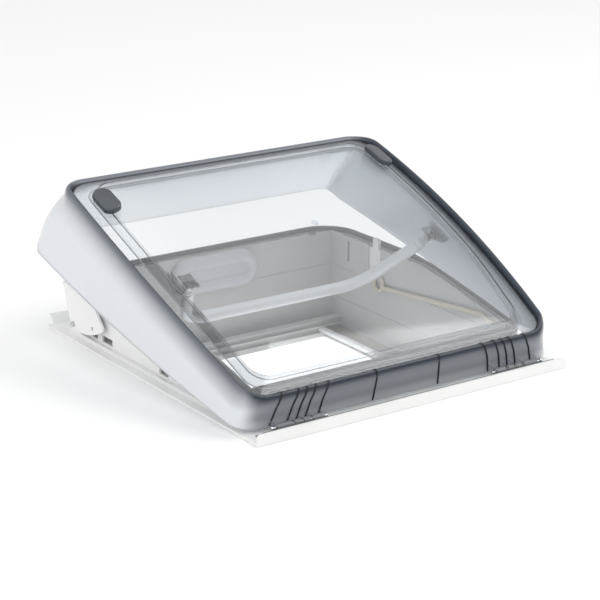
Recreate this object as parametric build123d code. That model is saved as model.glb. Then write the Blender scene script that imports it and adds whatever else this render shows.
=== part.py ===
"""Hinged, double-glazed roof vent (rooflight) for a 400 x 400 mm caravan roof cut-out.

Millimetres, +Z up, +X along the hinge, +Y to the rear.  The origin is on the underside of the
roof flange, in the middle of it.  The dome is modelled shut and then turned about its hinge to
the opening angle that the vent is stored at.
"""
from build123d import *
import math
import os

os.makedirs("parts", exist_ok=True)

# Roof opening: the sizes that drive the rest
cutout = 400.0
roof_thick = 40.0
opening_shift_y = 7.0

# Roof flange
flange_x = cutout + 68.0
flange_y = cutout + 122.0
flange_thick = 3.0
flange_corner_radius = 3.0
cutout_gap = 0.5
spigot_wall = 1.7
spigot_depth = 12.0
front_lip_height = 14.3
front_lip_thick = 3.0
front_lip_radius = 5.0
rear_lip_height = 15.0
rear_lip_lean = 12.0
rear_lip_thick = 2.6
rear_lip_slant = 1.2
rear_lip_end_inset = 9.0
screw_pitch_x = cutout
screw_pitch_y = cutout + 44.0
screw_hole_radius = 2.25

# Curb: the upright wall around the opening
platform_height = 5.0
platform_margin = 6.0
platform_rear_margin = 18.0
platform_radius = 25.0
collar_half_x = cutout / 2 + 16.0
collar_front_y = opening_shift_y - cutout / 2 - 7.0
collar_rear_y = opening_shift_y + cutout / 2 + 19.0
collar_wall = 3.0
collar_front_radius = 20.0
collar_rear_radius = 50.0
collar_top_max = 78.0
collar_below_border = 12.0
seal_below_border = 10.0
seal_top_max = 84.0
seal_width = 5.0
window_places = ((112.0, 140.0), (152.0, 170.0), (-30.0, -8.0))
window_height = 9.0
window_sill = 2.5

# Liners and interior frame
liner_wall = 2.0
liner_gap = 0.3
liner_half = cutout / 2 - cutout_gap - spigot_wall - liner_gap - liner_wall
liner_front_y = opening_shift_y - liner_half
liner_rear_y = opening_shift_y + liner_half
liner_top_max = 80.0
liner_below_border = 8.0
seam_rebate = 0.8
upper_seam_z = 31.5
lower_seam_z = -15.5
interior_bottom_z = -roof_thick - 26.0
trim_thick = 2.0
trim_half_x = cutout / 2 + 32.0
trim_reach_y = 36.0
trim_rim_inset = 2.0
trim_corner_radius = 12.0
light_half_x = cutout / 2 - 36.0
light_front_y = liner_front_y + 27.5
light_rear_y = liner_rear_y - 27.5

# Screws that hold the liner to the curb
boss_x = cutout / 2 + 5.2
boss_radius = 4.8
boss_places = ((collar_rear_y - 56.0, 64.0), (collar_rear_y - 186.0, 64.0), (collar_front_y + 110.0, 40.0))
boss_screw_radius = 1.5
boss_screw_length = 8.0
boss_head_radius = 3.6
boss_head_height = 2.0
screw_clearance = 0.1

# Catches and tracks on the liner's side walls, grip on the rear wall
slot_y = liner_rear_y - 42.5
slot_width = 5.0
slot_bottom_z = 44.0
catch_y = liner_rear_y - 104.5
catch_width = 28.0
catch_bottom_z = 46.0
catch_tab_top_z = 92.0
catch_tab_width = 13.0
catch_gap = 0.3
track_radius = 3.0
track_gap = 0.2
track_eye_y = catch_y - 15.0
track_eye_z = 31.0
track_eye_radius = 10.0
track_bend_radius = 8.0
track_points = (
    (track_eye_y - track_eye_radius, 27.0),
    (liner_front_y + 48.5, 47.0),
    (liner_front_y + 22.5, 39.0),
)
grip_x = -4.0
grip_z = 52.0
grip_half = 44.0
grip_bend_radius = 17.0
grip_tube_radius = 10.0
grip_boss_depth = 5.0

# Side shields
shield_inner_x = collar_half_x + platform_margin
shield_thick = 3.0
shield_gap = 0.2
shield_pivot_y = collar_rear_y - 23.0
shield_pivot_z = 19.0
shield_front_y = shield_pivot_y - 81.0
shield_front_z = 33.0
shield_low_y = shield_pivot_y - 38.0
shield_low_z = 14.0
shield_top_front = (shield_pivot_y - 53.0, 66.0)
shield_top_rear = (shield_pivot_y + 26.0, 72.0)
shield_hole_y = shield_pivot_y - 53.0
shield_hole_z = 27.0
shield_hole_radius = 2.6
shield_screw_radius = 2.2
shield_head_radius = 3.8
shield_head_height = 1.8
gusset_thick = 3.0

# Blind and fly screen
rail_depth = 14.0
groove_depth = 6.0
groove_gap = 0.3
slat_height = 7.0
level_gap = 3.0
blind_level_z = interior_bottom_z + 5.5 + slat_height / 2
screen_level_z = blind_level_z + slat_height + level_gap
pull_bar_width = 8.0
pull_bar_radius = 1.5
grip_tab_half = 30.0
grip_tab_reach = 7.0
pleat_pitch = 4.0
pleat_thick = 2.0
pleat_count = 6

# Clamps under the roof
clamp_width = 24.0
clamp_thick = 1.6
clamp_reach = 26.0
clamp_leg_top_z = -16.0
clamp_gap = 0.4
clamp_wall_gap = 0.1
clamp_screw_radius = 2.0
clamp_screw_length = 16.0
clamp_head_height = 2.4
clamp_offsets = (-115.0, 115.0)

# Dome, shut
hinge_y = -flange_y / 2 + 17.0
hinge_z = 10.0
open_angle = 12.0
skin = 3.0
skirt_bottom_z = 3.5
skirt_front_y = hinge_y + 12.0
skirt_rear_y = flange_y / 2 + 27.0
skirt_half_front = flange_x / 2 + 4.0
skirt_half_mid = flange_x / 2 + 18.0
skirt_half_rear = flange_x / 2 + 12.0
skirt_radius_front = 32.0
skirt_radius_rear = 28.0
border_front_y = hinge_y + 21.0
border_rear_y = flange_y / 2 - 43.0
border_mid_y = (border_front_y + border_rear_y) / 2
border_half_front = flange_x / 2 - 11.0
border_half_mid = flange_x / 2 + 7.0
border_half_rear = flange_x / 2
border_radius_front = 30.0
border_radius_rear = 45.0
border_front_z = 42.0
border_mid_z = 89.4
border_rear_z = 119.8
crown = 18.0
crown_power = 5.5
crown_top_inset = 150.0
crown_top_rise = 1.0
front_crown_share = 0.4
skirt_bulge = 9.0
pane_gap = 2.5
pane_thick = 2.2
pane_edge_inset = 20.0
pane_rim_drop = 4.0

# Hinge
pin_radius = 2.5
pin_clearance = 0.05
pin_head_extra = 1.5
pin_head_length = 2.0
knuckle_radius = pin_radius + 2.5
rib_thick = 3.0
rib_side_gap = 0.5
rib_places = tuple(flange_x / 2 - inset for inset in (104.0, 85.0, 72.0, 59.0, 34.0))
stiffener_places = (-50.0, 50.0)
stiffener_half = 1.0
hinge_plate_thick = 1.3
hinge_plate_overhang = 22.0

# Pads and plugs on the dome
pad_x = border_half_rear - 20.0
pad_y = border_rear_y - 68.0
pad_length = 50.0
pad_width = 26.0
pad_height = 7.0
pad_edge_radius = 3.0
pad_lift = 3.2
pad_slope = 7.0
pad_roll = 16.0
plug_places = ((24.0, 24.0), (8.0, 6.0))
plug_radius = 4.5
plug_height = 2.0
plug_gap = 0.1

# Opening bar
bar_diameter = 16.0
bar_wall = 1.5
bar_bend_radius = 51.0
bar_reach = 122.0
bar_hang_angle = 41.2
bar_end_back = 22.0
bar_plug_gap = 0.3
tongue_thick = 5.6
pivot_radius = 3.0
tongue_radius = pivot_radius + 2.0
lug_radius = pivot_radius + 2.5
lug_gap = tongue_thick / 2 + 0.4
lug_thick = 2.4
bracket_base_thick = 1.6
bracket_slope = 10.5
bracket_rise = 10.450
bracket_x = liner_half - 6.5
bracket_y = border_mid_y - 13.7
bar_corner_x = bracket_x - 51.6


def save(name, *shapes):
    """Write one node as a STEP file, as one solid or as a group of separate solids."""
    solids = [solid for shape in shapes for solid in shape.solids()]
    whole = solids[0] if len(solids) == 1 else Compound(children=solids)
    export_step(whole, f"parts/{name}.step")


def opened(shape):
    """Turn a piece of the shut dome to the stored opening angle."""
    return shape.rotate(Axis((0, hinge_y, hinge_z), (1, 0, 0)), open_angle)


def mirrored(shape):
    return shape.mirror(Plane.YZ)


def block(x_low, x_high, y_low, y_high, z_low, z_high):
    size = (x_high - x_low, y_high - y_low, z_high - z_low)
    middle = ((x_low + x_high) / 2, (y_low + y_high) / 2, (z_low + z_high) / 2)
    return Pos(*middle) * Box(*size)


def rod(radius, start, end):
    """A round rod between two points."""
    path = Line(start, end)
    return sweep(Plane(origin=start, z_dir=path % 0) * Circle(radius), path)


def side_extrusion(points, x_low, x_high):
    """A prism along X from an outline of (y, z) points."""
    corners = [(x_low, y, z) for y, z in points]
    face = make_face(Polyline(*corners, close=True))
    return extrude(face, amount=x_high - x_low, dir=(1, 0, 0))


def ring_walls(half_x, y_low, y_high, wall, z_low, z_high):
    """A rectangular tube, given by its inner faces."""
    outer = block(-half_x - wall, half_x + wall, y_low - wall, y_high + wall, z_low, z_high)
    inner = block(-half_x, half_x, y_low, y_high, z_low - 1, z_high + 1)
    return outer - inner


def border_z(y):
    """Height of the shut dome's border line: a parabola through three heights."""
    y0, y1, y2 = border_front_y, border_mid_y, border_rear_y
    front = border_front_z * (y - y1) * (y - y2) / ((y0 - y1) * (y0 - y2))
    middle = border_mid_z * (y - y0) * (y - y2) / ((y1 - y0) * (y1 - y2))
    rear = border_rear_z * (y - y0) * (y - y1) / ((y2 - y0) * (y2 - y1))
    return front + middle + rear


# ---------------------------------------------------------------- roof flange and curb

def collar_outline(inset):
    """The curb's plan outline, inset from its outer face."""
    half = collar_half_x - inset
    low = collar_front_y + inset
    high = collar_rear_y - inset
    face = make_face(Polyline((-half, low), (half, low), (half, high), (-half, high), close=True))
    corners = face.vertices().sort_by(Axis.Y)
    face = fillet(corners[:2], collar_front_radius - inset)
    return fillet(face.vertices().sort_by(Axis.Y)[-2:], collar_rear_radius - inset)


def below_border(drop, top_max, margin):
    """Everything under a top edge that follows the shut dome and then runs level."""
    steps = 12
    y_low = border_front_y - margin
    y_high = border_rear_y + margin
    top = []
    for i in range(steps + 1):
        y = y_low + (y_high - y_low) * i / steps
        top.append((y, min(top_max, border_z(y) - drop)))
    outline = [(y_low, -100.0)] + top + [(y_high, -100.0)]
    return side_extrusion(outline, -flange_x, flange_x)


def collar_ring(z_high):
    base = Pos(0, 0, flange_thick) * extrude(collar_outline(0), z_high)
    return base - Pos(0, 0, flange_thick - 1) * extrude(collar_outline(collar_wall), z_high + 2)


def front_lip():
    half = flange_x / 2
    lip = block(-half, half, -flange_y / 2, -flange_y / 2 + front_lip_thick, 0, front_lip_height)
    top = lip.edges().filter_by(Axis.Y).group_by(Axis.Z)[-1]
    return fillet(top, front_lip_radius)


def rear_lip():
    y = flange_y / 2
    outline = [
        (y - rear_lip_thick, 0),
        (y, 0),
        (y + rear_lip_lean, rear_lip_height - rear_lip_slant),
        (y + rear_lip_lean - rear_lip_thick, rear_lip_height),
        (y - rear_lip_thick, flange_thick),
    ]
    half = flange_x / 2 - rear_lip_end_inset
    return side_extrusion(outline, -half, half)


def gusset(side):
    """Upright bracket that the side shield is screwed to."""
    x_low = shield_inner_x - gusset_thick - shield_gap
    x_high = shield_inner_x - shield_gap
    outline = [
        (shield_pivot_y - 18, flange_thick),
        (shield_pivot_y + 16, flange_thick),
        (shield_pivot_y + 6, shield_pivot_z + 6),
        (shield_pivot_y - 7, shield_pivot_z + 6),
    ]
    plate = side_extrusion(outline, x_low, x_high)
    hole_start = (x_low - 1, shield_pivot_y, shield_pivot_z)
    hole_end = (x_high + 1, shield_pivot_y, shield_pivot_z)
    plate -= rod(shield_screw_radius + screw_clearance, hole_start, hole_end)
    return plate if side > 0 else mirrored(plate)


def outer_frame():
    half_x = flange_x / 2
    half_y = flange_y / 2
    hole = cutout / 2 - cutout_gap
    spigot_inner = hole - spigot_wall
    body = block(-half_x, half_x, -half_y, half_y, 0, flange_thick)
    body = fillet(body.edges().filter_by(Axis.Z), flange_corner_radius)
    raised = make_face(
        Polyline(
            (-collar_half_x - platform_margin, collar_front_y - platform_margin),
            (collar_half_x + platform_margin, collar_front_y - platform_margin),
            (collar_half_x + platform_margin, collar_rear_y + platform_rear_margin),
            (-collar_half_x - platform_margin, collar_rear_y + platform_rear_margin),
            close=True,
        )
    )
    raised = fillet(raised.vertices(), platform_radius)
    body += extrude(raised, flange_thick + platform_height)
    body += front_lip()
    body += rear_lip()
    body += collar_ring(collar_top_max) & below_border(collar_below_border, collar_top_max, 30)
    body += block(-hole, hole, -hole + opening_shift_y, hole + opening_shift_y, -spigot_depth, 1)
    for side in (1, -1):
        body += gusset(side)
    for y, top in boss_places:
        for x in (boss_x, -boss_x):
            body += Pos(x, y, flange_thick + top / 2 - 1) * Cylinder(boss_radius, top - 1)
    y_low = -spigot_inner + opening_shift_y
    y_high = spigot_inner + opening_shift_y
    body -= block(-spigot_inner, spigot_inner, y_low, y_high, -spigot_depth - 1, 90)
    for y, top in boss_places:
        for x in (boss_x, -boss_x):
            body -= Pos(x, y, top - 4) * Cylinder(boss_screw_radius + screw_clearance, 20)
    for x in (-screw_pitch_x / 2, screw_pitch_x / 2):
        for y in (-screw_pitch_y / 2, screw_pitch_y / 2):
            body -= Pos(x, y, 0) * Cylinder(screw_hole_radius, 40)
    sill = flange_thick + platform_height + window_sill
    for y_from, y_to in window_places:
        for x in (collar_half_x, -collar_half_x):
            body -= block(x - 6, x + 6, y_from, y_to, sill, sill + window_height)
    return body


def curb_seal():
    """Rubber strip along the curb's top edge."""
    low = below_border(collar_below_border, collar_top_max, 30)
    high = below_border(seal_below_border, seal_top_max, 30)
    outer = extrude(collar_outline(0), 120)
    inner = extrude(collar_outline(seal_width), 120)
    return ((outer - inner) & high) - low


# ---------------------------------------------------------------- liners and inside trim

def upper_liner():
    walls = ring_walls(liner_half, liner_front_y, liner_rear_y, liner_wall, upper_seam_z, 90)
    walls = walls & below_border(liner_below_border, liner_top_max, 30)
    for side in (1, -1):
        x = side * liner_half
        walls -= block(x - 4, x + 4, slot_y - slot_width / 2, slot_y + slot_width / 2,
                       slot_bottom_z, liner_top_max - 6)
        walls -= block(x - 4, x + 4, catch_y - catch_width / 2, catch_y + catch_width / 2,
                       catch_bottom_z, liner_top_max + 5)
    return walls


def seam(z):
    """Small rebate in the inside wall's top edge, which shows as a line between two liners."""
    reach = liner_half + seam_rebate
    return block(-reach, reach, opening_shift_y - reach, opening_shift_y + reach, z - seam_rebate, z + 1)


def middle_liner():
    walls = ring_walls(liner_half, liner_front_y, liner_rear_y, liner_wall, lower_seam_z, upper_seam_z)
    return walls - seam(upper_seam_z)


def interior_frame():
    """Lower liner walls, inward ledge and ceiling flange in one moulding."""
    walls = ring_walls(liner_half, liner_front_y, liner_rear_y, liner_wall,
                       interior_bottom_z, lower_seam_z)
    y_low = liner_front_y - trim_reach_y
    y_high = liner_rear_y + trim_reach_y
    z_low = interior_bottom_z - trim_thick
    plate = block(-trim_half_x, trim_half_x, y_low, y_high, z_low, interior_bottom_z)
    plate = fillet(plate.edges().filter_by(Axis.Z), trim_corner_radius)
    plate -= block(-light_half_x, light_half_x, light_front_y, light_rear_y, z_low - 1, 0)
    rim_half = trim_half_x - trim_rim_inset
    rim_low = y_low + trim_rim_inset
    rim_high = y_high - trim_rim_inset
    rim = block(-rim_half, rim_half, rim_low, rim_high, interior_bottom_z - 1, -roof_thick)
    rim = fillet(rim.edges().filter_by(Axis.Z), trim_corner_radius - trim_rim_inset)
    rim -= block(-rim_half + trim_thick, rim_half - trim_thick,
                 rim_low + trim_thick, rim_high - trim_thick, -100, 0)
    return walls - seam(lower_seam_z) + plate + rim


def side_catch(side):
    """Clip behind the cut-out in the liner wall, with a tab above its top edge."""
    x_low = liner_half + liner_wall + catch_gap
    half = catch_width / 2
    back = block(x_low, x_low + 2, catch_y - half, catch_y + half, catch_bottom_z, liner_top_max - 3)
    back += block(x_low, x_low + 5, catch_y - half, catch_y + half, 58, 60.5)
    back += block(x_low, x_low + 4.5, catch_y - catch_tab_width / 2, catch_y + catch_tab_width / 2,
                  60, catch_tab_top_z)
    top = back.edges().filter_by(Axis.X).group_by(Axis.Z)[-1]
    back = fillet(top, 3.0)
    return back if side > 0 else mirrored(back)


def side_track(side):
    """Guide rail on the liner wall, with an eye at its rear end."""
    x = liner_half - track_radius - track_gap
    points = [(x, y, z) for y, z in track_points]
    path = FilletPolyline(*points, radius=track_bend_radius)
    body = sweep(Plane(origin=path @ 0, z_dir=path % 0) * Circle(track_radius), path)
    eye = Pos(x, track_eye_y, track_eye_z) * Rot(0, 90, 0) * Torus(track_eye_radius, track_radius)
    body = body + eye
    return body if side > 0 else mirrored(body)


def rear_catch():
    """Oval grip recess on the rear wall."""
    y = liner_rear_y - catch_gap + 0.1
    plane = Plane(origin=(grip_x, y, grip_z), x_dir=(1, 0, 0), z_dir=(0, -1, 0))
    path = plane * SlotCenterToCenter(2 * grip_half, 2 * grip_bend_radius).wire()
    section = Plane(origin=path @ 0, z_dir=path % 0) * Circle(grip_tube_radius)
    ring = sweep(section, path)
    boss = extrude(plane * SlotCenterToCenter(2 * grip_half - 6, 2 * grip_bend_radius - 4), grip_boss_depth)
    before_wall = block(-120, 120, y - 60, y, 0, 120)
    return (ring + boss) & before_wall


# ---------------------------------------------------------------- blind and fly screen

def guide_rail(at_rear):
    """Rail with one groove for the blind and one for the screen."""
    half = liner_half - 0.5
    top = screen_level_z + slat_height / 2 + 1.5
    bottom = interior_bottom_z + 0.05
    y_face = light_rear_y if at_rear else light_front_y
    outward = 1 if at_rear else -1
    y_pair = sorted((y_face, y_face + outward * rail_depth))
    body = block(-half, half, y_pair[0], y_pair[1], bottom, top)
    groove = sorted((y_face - outward, y_face + outward * groove_depth))
    for level in (blind_level_z, screen_level_z):
        reach = slat_height / 2 + groove_gap
        body -= block(-half - 1, half + 1, groove[0], groove[1], level - reach, level + reach)
    return body


def pull_bar(side, level):
    """Bar that the user slides across; its ends run in the grooves."""
    x_low = light_half_x - pull_bar_width + 2
    y_low = light_front_y - groove_depth + groove_gap
    y_high = light_rear_y + groove_depth - groove_gap
    z_low = level - slat_height / 2
    bar = block(x_low, x_low + pull_bar_width, y_low, y_high, z_low, z_low + slat_height)
    bar = fillet(bar.edges().filter_by(Axis.Y), pull_bar_radius)
    grip_y = (light_front_y + light_rear_y) / 2
    grip = block(x_low - grip_tab_reach, x_low + 2, grip_y - grip_tab_half, grip_y + grip_tab_half,
                 z_low + 2, z_low + slat_height - 2)
    grip = fillet(grip.edges().filter_by(Axis.Z).group_by(Axis.X)[0], 5.0)
    bar = bar + grip
    return bar if side > 0 else mirrored(bar)


def pleated_stack(side, level):
    """Folded pleats as one zigzag sheet, parked against the liner wall."""
    x = light_half_x + pull_bar_width - 5
    z_low = level - slat_height / 2
    z_high = level + slat_height / 2 - pleat_thick
    zigzag = [(x + i * pleat_pitch, z_low if i % 2 else z_high) for i in range(pleat_count + 1)]
    back = [(px, pz + pleat_thick) for px, pz in reversed(zigzag)]
    y_low = light_front_y + 0.5
    corners = [(px, y_low, pz) for px, pz in zigzag + back]
    face = make_face(Polyline(*corners, close=True))
    sheet = extrude(face, amount=light_rear_y - light_front_y - 1.0, dir=(0, 1, 0))
    return sheet if side > 0 else mirrored(sheet)


# ---------------------------------------------------------------- roof fixings

def clamp_local():
    """Clamp in its own frame: leg on the YZ plane, tongue along +X under the ceiling."""
    top = -roof_thick - clamp_gap
    leg = block(0, clamp_thick, -clamp_width / 2, clamp_width / 2, top - clamp_thick, clamp_leg_top_z)
    tongue = block(0, clamp_reach, -clamp_width / 2, clamp_width / 2, top - clamp_thick, top)
    hole = Pos(clamp_reach / 2, 0, top) * Cylinder(clamp_screw_radius + screw_clearance, 10)
    return leg + tongue - hole


def clamp_screw_local():
    top = -roof_thick - clamp_gap
    head_z = top - clamp_thick - 0.05
    shank = Pos(clamp_reach / 2, 0, head_z + clamp_screw_length / 2)
    shank = shank * Cylinder(clamp_screw_radius, clamp_screw_length)
    head = Pos(clamp_reach / 2, 0, head_z - clamp_head_height / 2)
    head = head * Cylinder(2 * clamp_screw_radius, clamp_head_height)
    return shank + head


def around_opening(piece):
    """Eight copies of a piece, two on each side of the opening."""
    half = liner_half + liner_wall + clamp_wall_gap
    copies = []
    for offset in clamp_offsets:
        copies.append(Pos(half, opening_shift_y + offset, 0) * piece)
        copies.append(Pos(-half, opening_shift_y + offset, 0) * Rot(0, 0, 180) * piece)
        copies.append(Pos(offset, opening_shift_y + half, 0) * Rot(0, 0, 90) * piece)
        copies.append(Pos(offset, opening_shift_y - half, 0) * Rot(0, 0, -90) * piece)
    return copies


def liner_screws():
    screws = []
    for y, top in boss_places:
        for x in (boss_x, -boss_x):
            head_z = flange_thick + top - 1.4
            shank = Pos(x, y, head_z - boss_screw_length / 2) * Cylinder(boss_screw_radius, boss_screw_length)
            head = Pos(x, y, head_z + 0.1 + boss_head_height / 2) * Cylinder(boss_head_radius, boss_head_height)
            screws.append(shank + head)
    return screws


# ---------------------------------------------------------------- side shields

def side_shield(side):
    """White plate that screens the side of the gap beside the raised dome."""
    x_low = shield_inner_x
    low_arc = ThreePointArc((x_low, shield_pivot_y + 6, shield_pivot_z - 5),
                            (x_low, shield_low_y + 8, shield_low_z - 1),
                            (x_low, shield_front_y, shield_front_z - 3))
    upper = Polyline((x_low, shield_front_y, shield_front_z - 3),
                     (x_low, shield_front_y, shield_front_z + 2),
                     (x_low, *shield_top_front),
                     (x_low, *shield_top_rear),
                     (x_low, shield_pivot_y + 6, shield_pivot_z - 5))
    face = make_face(Curve() + [low_arc, upper])
    plate = extrude(face, amount=shield_thick, dir=(1, 0, 0))
    x_from = x_low - 1
    x_to = x_low + shield_thick + 1
    plate -= rod(shield_screw_radius + screw_clearance, (x_from, shield_pivot_y, shield_pivot_z),
                 (x_to, shield_pivot_y, shield_pivot_z))
    plate -= rod(shield_hole_radius, (x_from, shield_hole_y, shield_hole_z),
                 (x_to, shield_hole_y, shield_hole_z))
    return plate if side > 0 else mirrored(plate)


def shield_screw(side):
    x_low = shield_inner_x - gusset_thick - shield_gap
    x_head = shield_inner_x + shield_thick + screw_clearance
    shank = rod(shield_screw_radius, (x_low, shield_pivot_y, shield_pivot_z),
                (x_head, shield_pivot_y, shield_pivot_z))
    head = rod(shield_head_radius, (x_head, shield_pivot_y, shield_pivot_z),
               (x_head + shield_head_height, shield_pivot_y, shield_pivot_z))
    screw = shank + head
    return screw if side > 0 else mirrored(screw)


# ---------------------------------------------------------------- dome

def outline_points(halves, y_low, y_high, r_front, r_rear):
    """Plan outline of a rounded rectangle with bowed sides, as points in order."""
    half_front, half_mid, half_rear = halves
    y_mid = (y_low + y_high) / 2
    reach = (y_high - y_low) / 2

    def half(y):
        t = (y - y_mid) / reach
        return half_mid + (half_rear - half_front) / 2 * t + ((half_front + half_rear) / 2 - half_mid) * t * t

    right = []
    for angle in (-90, -67.5, -45, -22.5):
        y = y_low + r_front + r_front * math.sin(math.radians(angle))
        right.append((half(y_low + r_front) - r_front + r_front * math.cos(math.radians(angle)), y))
    for i in range(7):
        y = y_low + r_front + (y_high - r_rear - y_low - r_front) * i / 6
        right.append((half(y), y))
    for angle in (22.5, 45, 67.5, 90):
        y = y_high - r_rear + r_rear * math.sin(math.radians(angle))
        right.append((half(y_high - r_rear) - r_rear + r_rear * math.cos(math.radians(angle)), y))
    left = [(-x, y) for x, y in reversed(right)]
    middle_rear = [(right[-1][0] * k, y_high) for k in (0.5, 0.0, -0.5)]
    middle_front = [(-right[0][0] * k, y_low) for k in (0.5, 0.0, -0.5)]
    return right + middle_rear + left + middle_front


def rise_share(y):
    """How much of the crown is reached at y: less along the hinge, all of it further back."""
    t = min(1.0, max(0.0, (y - border_front_y) / 160.0))
    return front_crown_share + (1 - front_crown_share) * t * t * (3 - 2 * t)


def border_ring(inset, rise, level=False):
    """A ring on the dome, inset from the border line and raised above it.  A level ring is flat."""
    halves = (border_half_front - inset, border_half_mid - inset, border_half_rear - inset)
    points = outline_points(halves, border_front_y + inset, border_rear_y - inset,
                            max(8.0, border_radius_front - inset * 0.35),
                            max(10.0, border_radius_rear - inset * 0.3))
    y_low = border_front_y + inset
    y_high = border_rear_y - inset
    ring = []
    for x, y in points:
        z = border_z(y) + rise * rise_share(y)
        if level:
            t = (y - y_low) / (y_high - y_low)
            z = (border_z(y_low) + rise) * (1 - t) + (border_z(y_high) + rise) * t
        ring.append((x, y, z))
    return Spline(*ring, periodic=True)


def skirt_ring(inset, z):
    halves = (skirt_half_front - inset, skirt_half_mid - inset, skirt_half_rear - inset)
    points = outline_points(halves, skirt_front_y + inset, skirt_rear_y - inset,
                            skirt_radius_front - inset, skirt_radius_rear - inset)
    return Spline(*[(x, y, z) for x, y in points], periodic=True)


def middle_ring(inset, bulge):
    """Ring halfway up the skirt, pushed out a little."""
    low = outline_points((skirt_half_front, skirt_half_mid, skirt_half_rear),
                         skirt_front_y, skirt_rear_y, skirt_radius_front, skirt_radius_rear)
    high = outline_points((border_half_front, border_half_mid, border_half_rear),
                          border_front_y, border_rear_y, border_radius_front, border_radius_rear)
    ring = []
    for (x0, y0), (x1, y1) in zip(low, high):
        x = (x0 + x1) / 2
        y = (y0 + y1) / 2
        push = bulge if y > border_rear_y - 40 else bulge * 0.5
        length = math.hypot(x, y - border_mid_y)
        grow = 1 + (push - inset) / length
        z = (skirt_bottom_z + border_z(y1)) / 2
        ring.append((x * grow, border_mid_y + (y - border_mid_y) * grow, z))
    return Spline(*ring, periodic=True)


def crown_rise(inset):
    """Height of the crowned pane above the border line, at a distance in from the border."""
    return crown * (1 - ((border_half_mid - inset) / border_half_mid) ** crown_power)


def crown_top_height():
    """Height of the pane's level middle above the border line."""
    return crown_rise(crown_top_inset) + crown_top_rise


def dome_body(wall, bottom_z):
    """Solid bounded by the dome's skin, a wall's thickness inside the outer face."""
    rings = [skirt_ring(wall, bottom_z), middle_ring(wall, skirt_bulge), border_ring(wall, -0.4 * wall)]
    for inset, share in ((10, 0.6), (28, 0.3), (60, 0.15), (100, 0.05)):
        rings.append(border_ring(inset + share * wall, crown_rise(inset) - (1 - share * 0.4) * wall))
    rings.append(border_ring(crown_top_inset, crown_top_height() - wall, level=True))
    return Solid.make_loft([Wire(ring) for ring in rings], ruled=True)


def rib_outline():
    """Side view of a hinge rib of the shut dome, as (y, z) points."""
    return [
        (hinge_y, hinge_z + knuckle_radius),
        (skirt_front_y + skin + 5.5, hinge_z + knuckle_radius + 0.5),
        (border_front_y + skin + 4.5, border_front_z - 6),
        (border_front_y + skin + 13, border_front_z - 6),
        (skirt_front_y + skin + 12, hinge_z - knuckle_radius + 0.8),
        (hinge_y, hinge_z - knuckle_radius),
    ]


def notch(x):
    width = rib_thick / 2 + rib_side_gap
    return block(x - width, x + width, skirt_front_y - 4, skirt_front_y + skin + 6, -10,
                 hinge_z + knuckle_radius + 1.5)


def outer_dome():
    shell = dome_body(0.0, skirt_bottom_z) - dome_body(skin, skirt_bottom_z - 8)
    for place in rib_places:
        shell -= notch(place)
        shell -= notch(-place)
    return shell


def inner_dome():
    """Second pane: a shallow tray close under the outer one."""
    drop = skin + pane_gap

    def pane_body(extra):
        edge = pane_edge_inset + extra
        rings = [border_ring(edge, -25, level=True), border_ring(edge, -1.0 - extra)]
        for inset in (30, 60, 100):
            rings.append(border_ring(inset + extra * 0.3, crown_rise(inset) - drop - extra))
        rings.append(border_ring(crown_top_inset, crown_top_height() - drop - extra, level=True))
        return Solid.make_loft([Wire(ring) for ring in rings], ruled=True)

    pane = pane_body(0.0) - pane_body(pane_thick)
    return pane - below_border(pane_rim_drop, 500.0, 40.0)


def hinge_leaf(side):
    """Five ribs with a cross bar, which hang the dome on its pin."""
    leaf = None
    for place in rib_places:
        rib = side_extrusion(rib_outline(), place - rib_thick / 2, place + rib_thick / 2)
        rib += rod(knuckle_radius, (place - rib_thick / 2, hinge_y, hinge_z),
                   (place + rib_thick / 2, hinge_y, hinge_z))
        leaf = rib if leaf is None else leaf + rib
    y_bar = skirt_front_y + skin + 8
    leaf += block(rib_places[0], rib_places[-1], y_bar, y_bar + 5, 17, 24)
    leaf -= rod(pin_radius + pin_clearance, (rib_places[0] - 5, hinge_y, hinge_z),
                (rib_places[-1] + 5, hinge_y, hinge_z))
    return leaf if side > 0 else mirrored(leaf)


def hinge_rail():
    """Dark rail on the flange with the fixed knuckles between the dome's ribs."""
    half = rib_places[-1] + hinge_plate_overhang
    rail = block(-half, half, hinge_y - knuckle_radius - 4, hinge_y + 7,
                 flange_thick, flange_thick + hinge_plate_thick)
    rail += block(-half, half, hinge_y - knuckle_radius - 4, hinge_y - knuckle_radius - 2.2,
                  flange_thick, hinge_z + 2)
    gap = rib_thick / 2 + rib_side_gap
    for first, second in zip(rib_places[:-1], rib_places[1:]):
        knuckle = rod(knuckle_radius, (first + gap, hinge_y, hinge_z), (second - gap, hinge_y, hinge_z))
        knuckle += block(first + gap, second - gap, hinge_y - 4, hinge_y + 4, flange_thick, hinge_z)
        rail += knuckle
        rail += mirrored(knuckle)
    for side in (1, -1):
        bore_start = (side * (rib_places[0] - 6), hinge_y, hinge_z)
        bore_end = (side * (rib_places[-1] + 6), hinge_y, hinge_z)
        rail -= rod(pin_radius + pin_clearance, bore_start, bore_end)
    return rail


def hinge_pin(side):
    start = rib_places[0] - 4
    end = rib_places[-1] + 4
    pin = rod(pin_radius, (start, hinge_y, hinge_z), (end, hinge_y, hinge_z))
    pin += rod(pin_radius + pin_head_extra, (end, hinge_y, hinge_z), (end + pin_head_length, hinge_y, hinge_z))
    return pin if side > 0 else mirrored(pin)


def front_stiffeners():
    """Two plain ribs inside the front of the skirt."""
    ribs = []
    for x in stiffener_places:
        outline = [
            (skirt_front_y + skin + 2.5, skirt_bottom_z + 4),
            (border_front_y + skin + 3.5, border_front_z - 8),
            (border_front_y + skin + 8, border_front_z - 8),
            (skirt_front_y + skin + 7, skirt_bottom_z + 4),
        ]
        ribs.append(side_extrusion(outline, x - stiffener_half, x + stiffener_half))
    return ribs


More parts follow.
